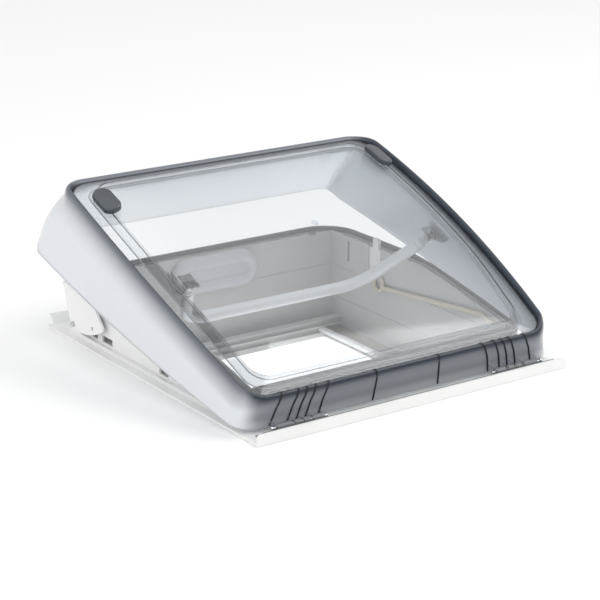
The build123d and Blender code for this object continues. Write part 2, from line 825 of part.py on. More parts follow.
def on_dome(x, y, lift):
    """A plane laid on the shut dome's skin at the rear corner, raised by lift."""
    z = border_z(y) + crown_rise(border_half_mid - abs(x)) + lift
    return Pos(x, y, z) * Rot(pad_slope, pad_roll if x > 0 else -pad_roll, 0)


def latch_pad(side):
    """Dark cover pad over the rear fixing of the two panes."""
    shape = extrude(Rot(0, 0, 90) * SlotOverall(pad_length, pad_width), pad_height)
    top = shape.edges().group_by(Axis.Z)[-1]
    shape = fillet(top, pad_edge_radius)
    return on_dome(side * pad_x, pad_y, pad_lift) * shape


def bar_bracket(side):
    """Clear clevis under the inner pane that carries one end of the bar."""
    body = block(-9, 9, -13, 13, lug_radius, lug_radius + bracket_base_thick)
    for low in (-lug_gap - lug_thick, lug_gap):
        lug = rod(lug_radius, (low, 0, 0), (low + lug_thick, 0, 0))
        lug += block(low, low + lug_thick, -lug_radius, lug_radius, 0, lug_radius + 0.5)
        body += lug
    body -= rod(pivot_radius + pin_clearance, (-12, 0, 0), (12, 0, 0))
    return Pos(side * bracket_x, bracket_y, bracket_z) * Rot(bracket_slope, 0, 0) * body


def breather_plugs():
    """Small plugs on the flat middle of the outer pane."""
    y_low = border_front_y + crown_top_inset
    y_high = border_rear_y - crown_top_inset
    z_low = border_z(y_low) + crown_top_height() * rise_share(y_low)
    z_high = border_z(y_high) + crown_top_height()
    slope = math.atan2(z_high - z_low, y_high - y_low)
    plugs = []
    for x, y in plug_places:
        z = z_low + (y - y_low) * math.tan(slope)
        plug = Pos(0, 0, plug_gap + plug_height / 2) * Cylinder(plug_radius, plug_height)
        plugs.append(Pos(x, y, z) * Rot(math.degrees(slope), 0, 0) * plug)
    return plugs


# ---------------------------------------------------------------- opening bar

bracket_drop = skin + pane_gap + pane_thick + lug_radius + bracket_base_thick - bracket_rise
bracket_z = border_z(bracket_y) - bracket_drop
turn = math.radians(open_angle)
pivot_y = hinge_y + (bracket_y - hinge_y) * math.cos(turn) - (bracket_z - hinge_z) * math.sin(turn)
pivot_z = hinge_z + (bracket_y - hinge_y) * math.sin(turn) + (bracket_z - hinge_z) * math.cos(turn)
bar_plane = Plane(
    origin=(0, pivot_y, pivot_z),
    x_dir=(1, 0, 0),
    z_dir=Vector(0, math.sin(math.radians(bar_hang_angle)), math.cos(math.radians(bar_hang_angle))),
)
arm_length = math.hypot(bracket_x - bar_corner_x, bar_reach)
arm_x = (bracket_x - bar_corner_x) / arm_length
arm_v = bar_reach / arm_length


def bar_point(x, away):
    """A point of the bar's plane: away is the distance from the pivot axis, towards the run."""
    return bar_plane.from_local_coords(Vector(x, away * bar_sign, 0))


bar_sign = 1.0 if bar_plane.from_local_coords(Vector(0, 1, 0)).Y > pivot_y else -1.0


def opening_bar():
    end_x = bracket_x - arm_x * bar_end_back
    end_away = arm_v * bar_end_back
    points = [
        bar_point(-end_x, end_away),
        bar_point(-bar_corner_x, bar_reach),
        bar_point(bar_corner_x, bar_reach),
        bar_point(end_x, end_away),
    ]
    path = FilletPolyline(*points, radius=bar_bend_radius)
    section = Plane(origin=path @ 0, z_dir=path % 0)
    outer = sweep(section * Circle(bar_diameter / 2), path)
    inner = sweep(section * Circle(bar_diameter / 2 - bar_wall), path)
    return outer - inner


def bar_end(side):
    """Plug in the tube with a flat tongue on the pivot screw."""
    local = rod(bar_diameter / 2 - 1, (-arm_x * 21.8, arm_v * 21.8, 0), (-arm_x * 15, arm_v * 15, 0))
    plug_in_tube = bar_diameter / 2 - bar_wall - bar_plug_gap
    local += rod(plug_in_tube, (-arm_x * 34, arm_v * 34, 0), (-arm_x * 20, arm_v * 20, 0))
    local += block(-tongue_thick / 2, tongue_thick / 2, 0, 17, -tongue_radius, tongue_radius)
    local += rod(tongue_radius, (-tongue_thick / 2, 0, 0), (tongue_thick / 2, 0, 0))
    local += block(-arm_x * 19 - 5, tongue_thick / 2, 12, 17, -tongue_radius, tongue_radius)
    local -= rod(pivot_radius + pin_clearance, (-12, 0, 0), (12, 0, 0))
    if side < 0:
        local = mirrored(local)
    if bar_sign < 0:
        local = local.mirror(Plane.XZ)
    moved = Plane(origin=(side * bracket_x, pivot_y, pivot_z), x_dir=(1, 0, 0), z_dir=bar_plane.z_dir)
    return moved * local


def pivot_screw(side):
    shank = rod(pivot_radius, (-6.4, 0, 0), (5.8, 0, 0))
    shank += rod(pivot_radius + 2, (-8.4, 0, 0), (-6.2, 0, 0))
    screw = Pos(side * bracket_x, bracket_y, bracket_z) * (shank if side > 0 else mirrored(shank))
    return screw


sides = {"left": -1, "right": 1}

save("outer_frame", outer_frame())
save("curb_seal", curb_seal())
save("upper_liner", upper_liner())
save("middle_liner", middle_liner())
save("interior_frame", interior_frame())
save("rear_catch", rear_catch())
save("guide_rail_front", guide_rail(False))
save("guide_rail_rear", guide_rail(True))
save("blind_pleats", pleated_stack(1, blind_level_z))
save("blind_pull_bar", pull_bar(1, blind_level_z))
save("screen_pleats", pleated_stack(-1, screen_level_z))
save("screen_pull_bar", pull_bar(-1, screen_level_z))
save("roof_clamps", *around_opening(clamp_local()))
save("clamp_screws", *around_opening(clamp_screw_local()))
save("liner_screws", *liner_screws())
save("shield_screws", shield_screw(1), shield_screw(-1))
save("hinge_rail", hinge_rail())
save("outer_dome", opened(outer_dome()))
save("inner_dome", opened(inner_dome()))
save("front_stiffeners", *[opened(rib) for rib in front_stiffeners()])
save("breather_plugs", *[opened(plug) for plug in breather_plugs()])
save("opening_bar", opening_bar())
save("pivot_screws", opened(pivot_screw(1)), opened(pivot_screw(-1)))
for name, side in sides.items():
    save(f"side_catch_{name}", side_catch(side))
    save(f"side_track_{name}", side_track(side))
    save(f"side_shield_{name}", side_shield(side))
    save(f"hinge_pin_{name}", hinge_pin(side))
    save(f"hinge_leaf_{name}", opened(hinge_leaf(side)))
    save(f"latch_pad_{name}", opened(latch_pad(side)))
    save(f"bar_bracket_{name}", opened(bar_bracket(side)))
    save(f"bar_end_{name}", bar_end(side))
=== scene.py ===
"""Looks of the hinged roof vent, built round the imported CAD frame.  Metres, +Z up.

The dome's shapes are worked out for the shut dome and then turned about its hinge, as in the CAD.
"""
import math

import bpy
from mathutils import Matrix, Vector


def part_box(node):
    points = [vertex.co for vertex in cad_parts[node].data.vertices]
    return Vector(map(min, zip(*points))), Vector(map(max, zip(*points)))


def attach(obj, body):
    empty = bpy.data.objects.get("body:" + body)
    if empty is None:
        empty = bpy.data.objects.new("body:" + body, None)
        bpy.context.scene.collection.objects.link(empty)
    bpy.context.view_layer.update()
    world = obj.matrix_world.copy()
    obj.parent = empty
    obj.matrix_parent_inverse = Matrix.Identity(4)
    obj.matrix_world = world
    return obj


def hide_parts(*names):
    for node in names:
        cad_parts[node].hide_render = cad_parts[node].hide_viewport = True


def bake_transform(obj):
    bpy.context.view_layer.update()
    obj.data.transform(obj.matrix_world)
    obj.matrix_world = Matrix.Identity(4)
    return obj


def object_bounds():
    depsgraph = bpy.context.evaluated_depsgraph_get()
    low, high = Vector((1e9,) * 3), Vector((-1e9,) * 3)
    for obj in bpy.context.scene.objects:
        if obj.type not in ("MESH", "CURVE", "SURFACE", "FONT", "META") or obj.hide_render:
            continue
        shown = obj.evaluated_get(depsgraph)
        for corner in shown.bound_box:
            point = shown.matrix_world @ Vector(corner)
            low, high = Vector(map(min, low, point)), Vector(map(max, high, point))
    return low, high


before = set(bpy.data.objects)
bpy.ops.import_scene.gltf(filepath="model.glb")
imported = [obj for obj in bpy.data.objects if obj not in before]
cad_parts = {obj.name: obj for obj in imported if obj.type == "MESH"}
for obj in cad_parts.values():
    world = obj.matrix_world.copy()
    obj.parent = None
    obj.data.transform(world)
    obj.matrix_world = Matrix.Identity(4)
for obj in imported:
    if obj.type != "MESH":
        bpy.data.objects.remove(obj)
cad_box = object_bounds()

# Dome, shut: the CAD dome's sizes, where three values run from the front by the middle to the rear
HINGE = Vector((0, -0.244, 0.010))
OPEN_ANGLE = math.radians(12)
SKIN = 0.003
SKIRT_Z = 0.0035
SKIRT_Y = (-0.232, 0.2875)
SKIRT_HALF = (0.238, 0.2515, 0.246)
SKIRT_RADIUS = (0.032, 0.028)
SKIRT_CURL = 0.010
SKIRT_BULGE = 0.010
FRONT_LIFT = 0.0010
BORDER_Y = (-0.223, 0.218)
BORDER_HALF = (0.223, 0.241, 0.237)
BORDER_RADIUS = (0.028, 0.030)
BORDER_Z = (0.042, 0.0894, 0.1198)

# Rounded rim outside the border line: how far out it goes, where its arc is centred and how high it rises
RIM_OUT = 0.0102
RIM_CENTRE = 0.42
RIM_PEAK = (0.003, 0.0085, 0.0033)
RIM_STEPS = 8
WALL_STEPS = 12

# Pane
CROWN = 0.018
CROWN_POWER = 8.0
FRONT_CROWN_SHARE = 0.4
PANE_GAP = 0.0025
PANE_THICK = 0.0022
RIM_BAND_THICK = 0.0008
BORDER_MID_Y = sum(BORDER_Y) / 2
PANE_INSETS = (0.0, 0.003, 0.006, 0.010, 0.015, 0.021, 0.028, 0.038, 0.05, 0.07, 0.095, 0.125, 0.16, 0.20)
INNER_INSETS = (0.024, 0.028, 0.036, 0.05, 0.07, 0.095, 0.125, 0.16, 0.20)
INNER_LIP = ((0.019, 0.009), (0.021, 0.0045))
BAND_INSETS = (0.001, 0.003, 0.006, 0.010, 0.015, 0.021, 0.026)
BAND_RAISE = 0.0003
# Dark tube along the border line: painted shade of the groove where the skirt meets the pane
GROOVE_SHADE_DROP = 0.0006
GROOVE_SHADE_RADIUS = 0.0014
RAIL_PLACES = ((0.017, 0.0085), (0.028, 0.0078))
RAIL_RADIUS = 0.0009

# How finely the outline is divided: along each side, round each corner and along each end
SIDE_STEPS = 26
CORNER_STEPS = 10
END_STEPS = 22

# Fins beside the bar's bracket on the shut dome
BRACKET = Vector((0.189, -0.0162, 0.0826))
BRACKET_SLOPE = 0.185
FIN_PLACES = (0.0125, 0.017)
FIN_HALF = 0.0006
FIN_OUTLINE = ((-0.020, 0.0068), (0.022, 0.0068), (0.014, -0.006), (0.004, -0.010), (-0.012, -0.004))

# Ribs of the front skirt
RIBS = (0.050, 0.130, 0.149, 0.162, 0.175, 0.200)
RIB_BEND = 0.008
RIB_RADIUS = 0.0012
RIB_STEPS = 18
RIB_SHARES = (0.06, 1.92)

# Folded blind and screen, from the liner wall to the pull bar
FOLDS = 26
FOLD_HALF = 0.0028
FABRIC_STEPS = 8
FABRIC_X = (0.1912, 0.1662)
FABRIC_Y = (-0.1604, 0.1744)
BLIND_Z = -0.057
SCREEN_Z = -0.047


# ---------------------------------------------------------------- helpers

def make_mesh(name, points, faces, smooth=True):
    mesh = bpy.data.meshes.new(name)
    mesh.from_pydata([tuple(p) for p in points], [], faces)
    mesh.validate()
    mesh.update()
    if smooth:
        mesh.polygons.foreach_set("use_smooth", [True] * len(mesh.polygons))
    piece = bpy.data.objects.new(name, mesh)
    bpy.context.collection.objects.link(piece)
    return piece


def grid_faces(rows, columns, closed):
    """Quads between rows of points; closed joins the last column to the first."""
    faces = []
    for r in range(rows - 1):
        for c in range(columns if closed else columns - 1):
            d = (c + 1) % columns
            faces.append((r * columns + c, r * columns + d, (r + 1) * columns + d, (r + 1) * columns + c))
    return faces


def opened(point):
    """A point of the shut dome at the stored opening angle."""
    return HINGE + Matrix.Rotation(OPEN_ANGLE, 3, "X") @ (Vector(point) - HINGE)


def add_thickness(piece, thick, offset=-1.0):
    solid = piece.modifiers.new("thickness", "SOLIDIFY")
    solid.thickness = thick
    solid.offset = offset
    solid.use_even_offset = True
    return piece


def finish_piece(piece, body, slot, material, *nodes):
    piece.data.materials.clear()
    piece.data.materials.append(material)
    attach(piece, body)
    if nodes:
        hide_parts(*nodes)
    return piece


def tube(name, path, radius, sides=10, closed=False):
    """A round tube along a list of points, with its section kept upright."""
    points = []
    count = len(path)
    for i, p in enumerate(path):
        before = path[(i - 1) % count] if closed or i > 0 else p
        after = path[(i + 1) % count] if closed or i < count - 1 else p
        along = (after - before).normalized()
        side = along.cross(Vector((0, 0, 1)))
        if side.length < 1e-6:
            side = Vector((1, 0, 0))
        side.normalize()
        up = side.cross(along)
        for k in range(sides):
            a = 2 * math.pi * k / sides
            points.append(p + side * radius * math.cos(a) + up * radius * math.sin(a))
    rows = count + 1 if closed else count
    faces = []
    for r in range(rows - 1):
        for c in range(sides):
            d = (c + 1) % sides
            low, high = r % count, (r + 1) % count
            faces.append((low * sides + c, high * sides + c, high * sides + d, low * sides + d))
    if not closed:
        faces.append(tuple(reversed(range(sides))))
        faces.append(tuple((count - 1) * sides + k for k in range(sides)))
    return make_mesh(name, points, faces)


# ---------------------------------------------------------------- dome shape

def smooth_step(low, high, value):
    t = min(1.0, max(0.0, (value - low) / (high - low)))
    return t * t * (3 - 2 * t)


def outline(halves, ends, radii):
    """Plan outline of a rounded rectangle with bowed sides, counter-clockwise from the front middle."""
    y_mid = (ends[0] + ends[1]) / 2
    reach = (ends[1] - ends[0]) / 2

    def half(y):
        t = (y - y_mid) / reach
        slope = (halves[2] - halves[0]) / 2
        bow = (halves[0] + halves[2]) / 2 - halves[1]
        return halves[1] + slope * t + bow * t * t

    def corner(y_centre, radius, start):
        x_centre = half(y_centre) - radius
        turns = [start + 90 * i / CORNER_STEPS for i in range(CORNER_STEPS + 1)]
        return [(x_centre + radius * math.cos(math.radians(a)),
                 y_centre + radius * math.sin(math.radians(a))) for a in turns]

    front = corner(ends[0] + radii[0], radii[0], -90)
    rear = corner(ends[1] - radii[1], radii[1], 0)
    right = list(front)
    for i in range(1, SIDE_STEPS):
        y = front[-1][1] + (rear[0][1] - front[-1][1]) * i / SIDE_STEPS
        right.append((half(y), y))
    right += rear
    low_end = [(front[0][0] * (2 * i / END_STEPS - 1), ends[0]) for i in range(1, END_STEPS)]
    high_end = [(rear[-1][0] * (1 - 2 * i / END_STEPS), ends[1]) for i in range(1, END_STEPS)]
    left = [(-x, y) for x, y in reversed(right)]
    return right + high_end + left + low_end


BORDER = outline(BORDER_HALF, BORDER_Y, BORDER_RADIUS)
SKIRT = outline(SKIRT_HALF, SKIRT_Y, SKIRT_RADIUS)
COLUMNS = len(BORDER)


def outward(line, column):
    """Direction that points away from a plan outline at one of its points."""
    before = line[column - 1]
    after = line[(column + 1) % len(line)]
    return Vector((after[1] - before[1], before[0] - after[0], 0)).normalized()


def border_z(y):
    """Height of the border line: a parabola through three heights."""
    y0, y1, y2 = BORDER_Y[0], BORDER_MID_Y, BORDER_Y[1]
    front = BORDER_Z[0] * (y - y1) * (y - y2) / ((y0 - y1) * (y0 - y2))
    middle = BORDER_Z[1] * (y - y0) * (y - y2) / ((y1 - y0) * (y1 - y2))
    rear = BORDER_Z[2] * (y - y0) * (y - y1) / ((y2 - y0) * (y2 - y1))
    return front + middle + rear


def rise_share(y):
    t = min(1.0, max(0.0, (y - BORDER_Y[0]) / 0.16))
    return FRONT_CROWN_SHARE + (1 - FRONT_CROWN_SHARE) * t * t * (3 - 2 * t)


def crown_rise(inset):
    return CROWN * (1 - (1 - inset / BORDER_HALF[1]) ** CROWN_POWER)


def pane_point(column, inset, drop=0.0):
    """A point on the pane, inset towards the middle and dropped below the outer face."""
    x, y = BORDER[column]
    keep = 1 - inset / BORDER_HALF[1]
    x, y = x * keep, BORDER_MID_Y + (y - BORDER_MID_Y) * keep
    return Vector((x, y, border_z(y) + crown_rise(inset) * rise_share(y) - drop))


def facing_shares(column):
    """How much a column of the skirt faces the front, the side and the rear; the shares add up to one."""
    out = outward(BORDER, column)
    return min(0.0, out.y) ** 2, out.x ** 2, max(0.0, out.y) ** 2


def skirt_point(column, share):
    """A point of the skirt: share 0 at its lower edge, 1 where the rounded rim starts, 2 at the border line."""
    x, y = BORDER[column]
    border = Vector((x, y, border_z(y)))
    low_x, low_y = SKIRT[column]
    curl = smooth_step(0.262, SKIRT_Y[1], low_y)
    lift = FRONT_LIFT * (1 - smooth_step(-0.19, 0.02, low_y))
    low = Vector((low_x, low_y, SKIRT_Z + SKIRT_CURL * curl + lift))
    out = outward(BORDER, column)
    front, side, rear = facing_shares(column)
    reach = RIM_OUT + 0.004 * rear - 0.002 * front
    rearward = smooth_step(0.02, 0.07, low_y - y)
    peak = front * RIM_PEAK[0] + side * RIM_PEAK[1] + rear * RIM_PEAK[2]
    end = math.acos(-RIM_CENTRE / (1 - RIM_CENTRE))
    tall = peak / (1 - math.sin(end))
    fall = tall * math.sin(end)
    if share <= 1:
        spring = border + out * reach - Vector((0, 0, fall))
        bulge = SKIRT_BULGE * rearward * rear * math.sin(math.pi * share)
        return low.lerp(spring, share) + out * bulge
    turn = end * (share - 1)
    across = (1 - RIM_CENTRE) * reach
    return (border + out * (RIM_CENTRE * reach + across * math.cos(turn))
            + Vector((0, 0, tall * math.sin(turn) - fall)))


def ring_strip(name, rows, close_middle=False):
    """A closed band through rows of points, each with one point a column."""
    points = [opened(row(c)) for row in rows for c in range(COLUMNS)]
    faces = grid_faces(len(rows), COLUMNS, True)
    if close_middle:
        points.append(sum(points[-COLUMNS:], Vector()) / COLUMNS)
        last = (len(rows) - 1) * COLUMNS
        faces += [(last + c, last + (c + 1) % COLUMNS, len(points) - 1) for c in range(COLUMNS)]
    return make_mesh(name, points, faces)


# ---------------------------------------------------------------- materials

def nodes_of(name):
    material = bpy.data.materials.new(name)
    material.use_nodes = True
    tree = material.node_tree
    return material, tree, tree.nodes["Principled BSDF"], tree.nodes["Material Output"]


def add_node(tree, kind, **values):
    node = tree.nodes.new(kind)
    for key, value in values.items():
        if hasattr(node, key):
            setattr(node, key, value)
        else:
            node.inputs[key].default_value = value
    return node


def noise_bump(tree, shader, scale, strength, distance=0.0004, detail=4.0):
    place = add_node(tree, "ShaderNodeTexCoord")
    noise = add_node(tree, "ShaderNodeTexNoise")
    noise.inputs["Scale"].default_value = scale
    noise.inputs["Detail"].default_value = detail
    bump = add_node(tree, "ShaderNodeBump")
    bump.inputs["Strength"].default_value = strength
    bump.inputs["Distance"].default_value = distance
    tree.links.new(place.outputs["Object"], noise.inputs["Vector"])
    tree.links.new(noise.outputs["Fac"], bump.inputs["Height"])
    tree.links.new(bump.outputs["Normal"], shader.inputs["Normal"])
    return noise


def ramp_between(tree, source, low, high, at=(0.35, 0.65)):
    ramp = add_node(tree, "ShaderNodeValToRGB")
    ramp.color_ramp.elements[0].position = at[0]
    ramp.color_ramp.elements[1].position = at[1]
    ramp.color_ramp.elements[0].color = (*low, 1)
    ramp.color_ramp.elements[1].color = (*high, 1)
    tree.links.new(source, ramp.inputs["Fac"])
    return ramp


def moulded(name, low, high, roughness, grain=900.0, strength=0.12, coat=0.0, metallic=0.0, patches=9.0):
    """Moulded plastic, rubber or metal: slow colour drift, fine grain and uneven gloss."""
    material, tree, shader, _ = nodes_of(name)
    noise_bump(tree, shader, grain, strength)
    place = add_node(tree, "ShaderNodeTexCoord")
    slow = add_node(tree, "ShaderNodeTexNoise")
    slow.inputs["Scale"].default_value = patches
    slow.inputs["Detail"].default_value = 5.0
    tree.links.new(place.outputs["Object"], slow.inputs["Vector"])
    colour = ramp_between(tree, slow.outputs["Fac"], low, high)
    tree.links.new(colour.outputs["Color"], shader.inputs["Base Color"])
    gloss = add_node(tree, "ShaderNodeMapRange")
    gloss.inputs["To Min"].default_value = roughness * 0.88
    gloss.inputs["To Max"].default_value = min(1.0, roughness * 1.15)
    tree.links.new(slow.outputs["Fac"], gloss.inputs["Value"])
    tree.links.new(gloss.outputs["Result"], shader.inputs["Roughness"])
    shader.inputs["Metallic"].default_value = metallic
    shader.inputs["Coat Weight"].default_value = coat
    return material


def mirror_share(tree, base, power):
    """How much a clear surface mirrors: base head on, and all of the light when seen edge-on."""
    weight = add_node(tree, "ShaderNodeLayerWeight")
    weight.inputs["Blend"].default_value = 0.5
    raised = add_node(tree, "ShaderNodeMath", operation="POWER")
    raised.inputs[1].default_value = power
    scaled = add_node(tree, "ShaderNodeMath", operation="MULTIPLY_ADD")
    scaled.inputs[1].default_value = 1 - base
    scaled.inputs[2].default_value = base
    tree.links.new(weight.outputs["Facing"], raised.inputs[0])
    tree.links.new(raised.outputs[0], scaled.inputs[0])
    return scaled


def clear_plastic(name, tint, edge_tint, haze=0.0, haze_colour=(0.8, 0.8, 0.8), blend=0.35):
    """Clear moulded acrylic: light passes straight through, tinted more where it is seen edge-on."""
    material, tree, shader, output = nodes_of(name)
    weight = add_node(tree, "ShaderNodeLayerWeight")
    weight.inputs["Blend"].default_value = blend
    colour = ramp_between(tree, weight.outputs["Facing"], tint, edge_tint, at=(0.25, 0.92))
    see = add_node(tree, "ShaderNodeBsdfTransparent")
    tree.links.new(colour.outputs["Color"], see.inputs["Color"])
    shader.inputs["Base Color"].default_value = (*haze_colour, 1)
    shader.inputs["Roughness"].default_value = 0.45
    hazy = add_node(tree, "ShaderNodeMixShader")
    hazy.inputs["Fac"].default_value = haze
    tree.links.new(see.outputs[0], hazy.inputs[1])
    tree.links.new(shader.outputs[0], hazy.inputs[2])
    gloss = add_node(tree, "ShaderNodeBsdfGlossy")
    gloss.inputs["Roughness"].default_value = 0.06
    noise_bump(tree, shader, 500.0, 0.05)
    mirror = mirror_share(tree, 0.03, 5.0)
    mix = add_node(tree, "ShaderNodeMixShader")
    tree.links.new(mirror.outputs[0], mix.inputs["Fac"])
    tree.links.new(hazy.outputs[0], mix.inputs[1])
    tree.links.new(gloss.outputs[0], mix.inputs[2])
    tree.links.new(mix.outputs[0], output.inputs["Surface"])
    return material


WHITE = moulded("white_abs", (0.83, 0.83, 0.825), (0.87, 0.87, 0.865), 0.34, coat=0.15)
LINER = moulded("liner_grey_white", (0.53, 0.522, 0.512), (0.57, 0.562, 0.552), 0.45)
RUBBER = moulded("seal_rubber", (0.17, 0.17, 0.175), (0.22, 0.22, 0.225), 0.7, grain=1500, strength=0.3)
BLIND = moulded("blind_fabric", (0.20, 0.165, 0.13), (0.26, 0.215, 0.17), 0.9, grain=2500, strength=0.5)
DARK = moulded("dark_plastic", (0.035, 0.037, 0.042), (0.055, 0.058, 0.064), 0.4)
PAD = moulded("pad_smoked", (0.035, 0.045, 0.055), (0.055, 0.068, 0.08), 0.18, grain=400, strength=0.04, coat=0.6)
GREY = moulded("grey_plastic", (0.56, 0.56, 0.58), (0.62, 0.62, 0.64), 0.35)
RAIL_GREY = moulded("hinge_grey", (0.16, 0.165, 0.175), (0.21, 0.215, 0.225), 0.4)
BEIGE = moulded("beige_plastic", (0.60, 0.54, 0.44), (0.66, 0.60, 0.50), 0.42)
STEEL = moulded("zinc_steel", (0.52, 0.53, 0.54), (0.62, 0.62, 0.63), 0.3, metallic=1.0, grain=700)
TUBE = moulded("satin_tube", (0.74, 0.75, 0.77), (0.80, 0.81, 0.83), 0.3, grain=1200, strength=0.06, coat=0.3)
PANE = clear_plastic("clear_pane", (0.985, 0.99, 0.992), (0.90, 0.93, 0.95),
                     haze=0.015, haze_colour=(0.85, 0.87, 0.9))
INNER = clear_plastic("inner_pane", (0.98, 0.985, 0.99), (0.88, 0.91, 0.94),
                      haze=0.02, haze_colour=(0.8, 0.83, 0.86))
RAIL = clear_plastic("clear_rail", (0.80, 0.83, 0.87), (0.45, 0.50, 0.57),
                     haze=0.35, haze_colour=(0.85, 0.87, 0.9))
# Dark clear plastic: painted shade of the border groove, and the dark front ribs
GROOVE_SHADE_AND_RIB = clear_plastic("painted_groove_shade_and_dark_rib", (0.12, 0.14, 0.16), (0.03, 0.035, 0.04),
                     haze=0.25, haze_colour=(0.05, 0.055, 0.065))
FITTING = clear_plastic("clear_fitting", (0.95, 0.965, 0.98), (0.62, 0.67, 0.73), haze=0.05)
SMOKED = clear_plastic("smoked_rib", (0.50, 0.52, 0.56), (0.16, 0.18, 0.21),
                       haze=0.35, haze_colour=(0.10, 0.11, 0.125))


def skin_material():
    """Skirt of the dome: frosted on the sides, with painted shade near the border line and on the front, and a
    faint painted glow.
    """
    material, tree, shader, output = nodes_of("skirt_tint_painted_shade_and_glow")
    tint_and_painted_shade = add_node(tree, "ShaderNodeAttribute", attribute_name="tint_and_painted_shade")
    haze = add_node(tree, "ShaderNodeAttribute", attribute_name="haze")
    # Painted shade: the see-through tint and the diffuse colour darken where the stored value is high
    tint = ramp_between(tree, tint_and_painted_shade.outputs["Fac"], (0.97, 0.98, 0.99), (0.13, 0.165, 0.22), at=(0.0, 1.0))
    see = add_node(tree, "ShaderNodeBsdfTransparent")
    tree.links.new(tint.outputs["Color"], see.inputs["Color"])
    body = ramp_between(tree, tint_and_painted_shade.outputs["Fac"], (0.74, 0.77, 0.81), (0.045, 0.06, 0.085), at=(0.0, 1.0))
    # Painted glow: the skirt gives off a little light in its own diffuse colour
    tree.links.new(body.outputs["Color"], shader.inputs["Emission Color"])
    shader.inputs["Emission Strength"].default_value = 0.06
    tree.links.new(body.outputs["Color"], shader.inputs["Base Color"])
    shader.inputs["Roughness"].default_value = 0.35
    noise_bump(tree, shader, 700.0, 0.1)
    hazy = add_node(tree, "ShaderNodeMixShader")
    tree.links.new(haze.outputs["Fac"], hazy.inputs["Fac"])
    tree.links.new(see.outputs[0], hazy.inputs[1])
    tree.links.new(shader.outputs[0], hazy.inputs[2])
    gloss = add_node(tree, "ShaderNodeBsdfGlossy")
    gloss.inputs["Roughness"].default_value = 0.08
    mirror = mirror_share(tree, 0.03, 5.0)
    mix = add_node(tree, "ShaderNodeMixShader")
    tree.links.new(mirror.outputs[0], mix.inputs["Fac"])
    tree.links.new(hazy.outputs[0], mix.inputs[1])
    tree.links.new(gloss.outputs[0], mix.inputs[2])
    tree.links.new(mix.outputs[0], output.inputs["Surface"])
    return material


SKIN_MATERIAL = skin_material()


# ---------------------------------------------------------------- dome pieces

def paint(piece, tint_and_painted_shade_values, haze_values):
    """Store a piece's tint with painted shade, and its haze, one value a point, for the skin material to read."""
    for name, values in (("tint_and_painted_shade", tint_and_painted_shade_values), ("haze", haze_values)):
        layer = piece.data.attributes.new(name, "FLOAT", "POINT")
        layer.data.foreach_set("value", values)


def paint_skin(piece, shares):
    """Tint with painted shade, and haze, of the skirt, by how high a point is and which way its side faces."""
    tint_and_painted_shade_values = []
    haze_values = []
    for share in shares:
        for column in range(COLUMNS):
            front, side, rear = facing_shares(column)
            front = smooth_step(0.3, 0.9, front)
            rear = smooth_step(0.35, 0.85, rear)
            low = smooth_step(0.15, 0.5, share)
            rim = smooth_step(0.72, 1.8, share)
            # Painted shade over a light tint: darker on the upper front skirt and in the band by the border line
            tint_and_painted_shade = 0.05 + front * (0.20 + 0.30 * low) + rim * (0.95 - 0.15 * rear)
            tint_and_painted_shade_values.append(min(1.0, tint_and_painted_shade))
            haze_values.append((0.90 - 0.25 * front) * (1 - 0.96 * rear) * (1 - 0.25 * rim) + 0.75 * rear * rim)
    paint(piece, tint_and_painted_shade_values, haze_values)


def dome_skirt():
    """Wall of the outer dome with its rounded rim."""
    shares = [i / WALL_STEPS for i in range(WALL_STEPS)] + [1 + i / RIM_STEPS for i in range(RIM_STEPS + 1)]
    rows = [lambda c, s=s: skirt_point(c, s) for s in shares]
    piece = ring_strip("dome_skirt", rows)
    paint_skin(piece, shares)
    add_thickness(piece, SKIN)
    return finish_piece(piece, "dome", "clear_acrylic", SKIN_MATERIAL, "outer_dome")


def pane_rim():
    """Outer band of the pane, with painted shade towards the border line and most of all along the rear."""
    rows = [lambda c, d=d: pane_point(c, d, -BAND_RAISE) for d in BAND_INSETS]
    piece = ring_strip("pane_rim", rows)
    tint_and_painted_shade_values = []
    haze_values = []
    for inset in BAND_INSETS:
        fade = 1 - smooth_step(0.0, BAND_INSETS[-1], inset)
        for column in range(COLUMNS):
            front, side, rear = facing_shares(column)
            # Painted shade: a dark band by the border line, strongest along the rear side
            tint_and_painted_shade_values.append(fade * (0.85 * rear + 0.04 * side + 0.03 * front))
            haze_values.append(fade * (0.55 * rear + 0.02 * side))
    paint(piece, tint_and_painted_shade_values, haze_values)
    add_thickness(piece, RIM_BAND_THICK)
    return finish_piece(piece, "dome", "clear_acrylic", SKIN_MATERIAL)


def bracket_fins(side):
    """Clear upright fins moulded on the outer side of the bar's bracket, under the inner pane."""
    points = []
    faces = []
    corners = len(FIN_OUTLINE)
    for place in FIN_PLACES:
        first = len(points)
        for x in (side * place - FIN_HALF, side * place + FIN_HALF):
            for y, z in FIN_OUTLINE:
                points.append(opened((side * BRACKET.x + x, BRACKET.y + y, BRACKET.z + z + BRACKET_SLOPE * y)))
        faces.append([first + k for k in range(corners)])
        faces.append([first + corners + k for k in reversed(range(corners))])
        for k in range(corners):
            after = (k + 1) % corners
            faces.append([first + k, first + corners + k, first + corners + after, first + after])
    name = "bracket_fins_left" if side < 0 else "bracket_fins_right"
    return finish_piece(make_mesh(name, points, faces, smooth=False), "dome", "clear_acrylic", FITTING)


